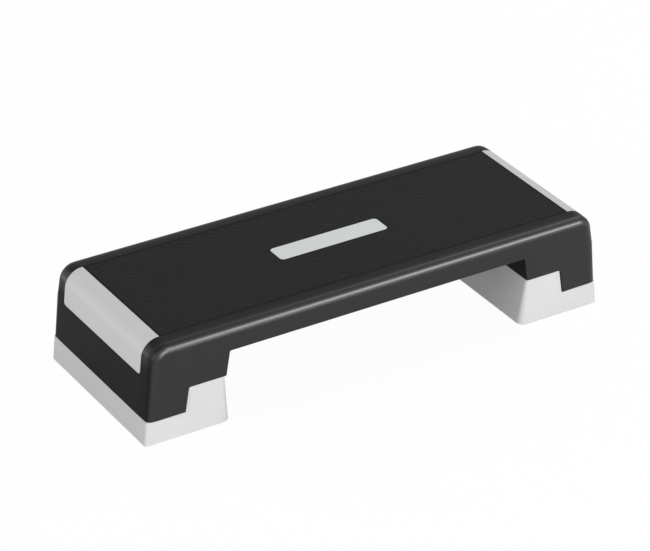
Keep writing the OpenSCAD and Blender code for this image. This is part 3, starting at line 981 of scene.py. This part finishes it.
riser = shape_riser(0, PAD_PROUD)
soften(riser, RISER_EDGE, 3)
combine(riser, shape_riser(RISER_WALL, -OVERSHOOT))
pocket = LEVEL - POCKET_DEPTH
for y in (-PAD_Y, PAD_Y):
    combine(riser, new_bar(PAD_X, y, pocket, pocket + POCKET_HEIGHT, POCKET_RADIUS))
inside = [rib_along(*RISER_RIB_ENDS, y, RISER_RIBS, RISER_OVERHEAD) for y in RIB_ROWS]
inside += [rib_across(x, RISER_RIBS, RISER_OVERHEAD) for x in RISER_CROSS_RIBS]
for x in RISER_PADS.values():
    for y in (-RISER_PAD_Y, RISER_PAD_Y):
        inside.append(new_post(x, y, PAD_DISC, RISER_OVERHEAD, RISER_BORE_TOP))
for piece in inside:
    combine(piece, shape_riser(RISER_WALL - RIB_REACH, RIB_REACH), "INTERSECT")
end_of_low = end_x(LEVEL + COLLAR_HEIGHT) - END_WALL / math.cos(END_LEAN) - COLLAR_GAP
low_collar = collar(step_x(LEVEL) + LOW_COLLAR_IN, end_of_low, PAD_Y - POST_RADIUS - COLLAR_GAP, LEVEL)
high_collar = collar(leg_x(2 * LEVEL) + SIDE_WALL + COLLAR_GAP, step_x(2 * LEVEL) - HIGH_COLLAR_IN,
                     WIDTH / 2 - SIDE_WALL - COLLAR_GAP, 2 * LEVEL)
inside = join(inside + [low_collar, high_collar])
for s, side in ENDS:
    body = side + "_riser"
    smooth_off(copy_for_end(riser, s), body + "_block", body, body, riser_white)
    smooth_off(copy_for_end(inside, s), body + "_ribs_and_collars", body, body, riser_white)
bpy.data.objects.remove(riser)
bpy.data.objects.remove(inside)


# Rubber pads: turned discs of black rubber with ringed soles, pressed by their plugs into the
# posts of the deck and of the risers. The foot stands one millimetre proud.
PAD_OUTLINE = ((0, 0.0006), (0.003, 0.0006), (0.0036, 0), (0.006, 0), (0.0066, 0.0006), (0.0084, 0.0006),
               (0.009, 0), (0.0122, 0), (0.0128, 0.0003), (0.013, 0.0009), (0.013, 0.002), (0.0098, 0.002),
               (0.0098, 0.0103), (0.009, 0.011), (0, 0.011))
PAD_SIDES = 48


def matt_rubber(name):
    """Soft black rubber with a dull bloom, a little dust and a granular skin."""
    material, finish, place = start_finish(name)
    bloom = finish.add("TexNoise", None, {"Vector": place, "Scale": 160, "Detail": 4, "Roughness": 0.6})
    crumb = finish.add("TexNoise", None, {"Vector": place, "Scale": 2200, "Detail": 2})
    dust = finish.add("ValToRGB", {"stops": ((0.6, grey(0)), (0.75, grey(1)))},
                      {"Fac": crumb * 0.6 + bloom * 0.4})
    tone = finish.add("ValToRGB", {"stops": ((0.3, grey(0.016)), (0.9, (0.06, 0.058, 0.055)))},
                      {"Fac": bloom * 0.6 + dust * 0.35})
    skin = finish.add("Bump", None, {"Strength": 0.4, "Distance": 0.00012,
                                     "Height": crumb * 0.6 + bloom * 0.4})
    dullness = (bloom - 0.5) * 0.2 + dust * 0.06 + 0.78
    end_finish(finish, {"Base Color": tone, "Roughness": dullness, "Specular IOR Level": 0.3,
                        "Normal": skin})
    return material


# The outline of the pad is a bent circle, opened at the axis and spun round it.
pad_black = matt_rubber("pad_black")
bare()
bpy.ops.mesh.primitive_circle_add(vertices=len(PAD_OUTLINE))
pad = bpy.context.object
for vertex, (radius, height) in zip(pad.data.vertices, PAD_OUTLINE):
    vertex.co = (radius, 0, height)
open_mesh(pad)
choose("EDGE", lambda e: all(v.co.x < HAIR for v in e.verts))
bpy.ops.mesh.delete(type="EDGE")
bpy.ops.mesh.select_all(action="SELECT")
bpy.ops.mesh.spin(steps=PAD_SIDES, angle=math.tau, center=(0, 0, 0), axis=(0, 0, 1))
bpy.ops.mesh.select_all(action="SELECT")
bpy.ops.mesh.remove_doubles(threshold=2 * HAIR)
bpy.ops.mesh.normals_make_consistent(inside=False)
close_mesh()
for s, side in ENDS:
    for f, face in ((-1, "front"), (1, "back")):
        riser_body = side + "_riser"
        for body, node, x, y, z in (
                ("deck", "deck_pad_" + face + "_" + side, PAD_X, PAD_Y, LEVEL - PAD_PROUD),
                (riser_body, riser_body + "_pad_" + face + "_outer", RISER_PADS["outer"], RISER_PAD_Y, 0),
                (riser_body, riser_body + "_pad_" + face + "_inner", RISER_PADS["inner"], RISER_PAD_Y, 0)):
            smooth_off(copy_for_end(pad, s, (x, f * y, z)), node + "_rubber", body, node,
                       pad_black)
bpy.data.objects.remove(pad)
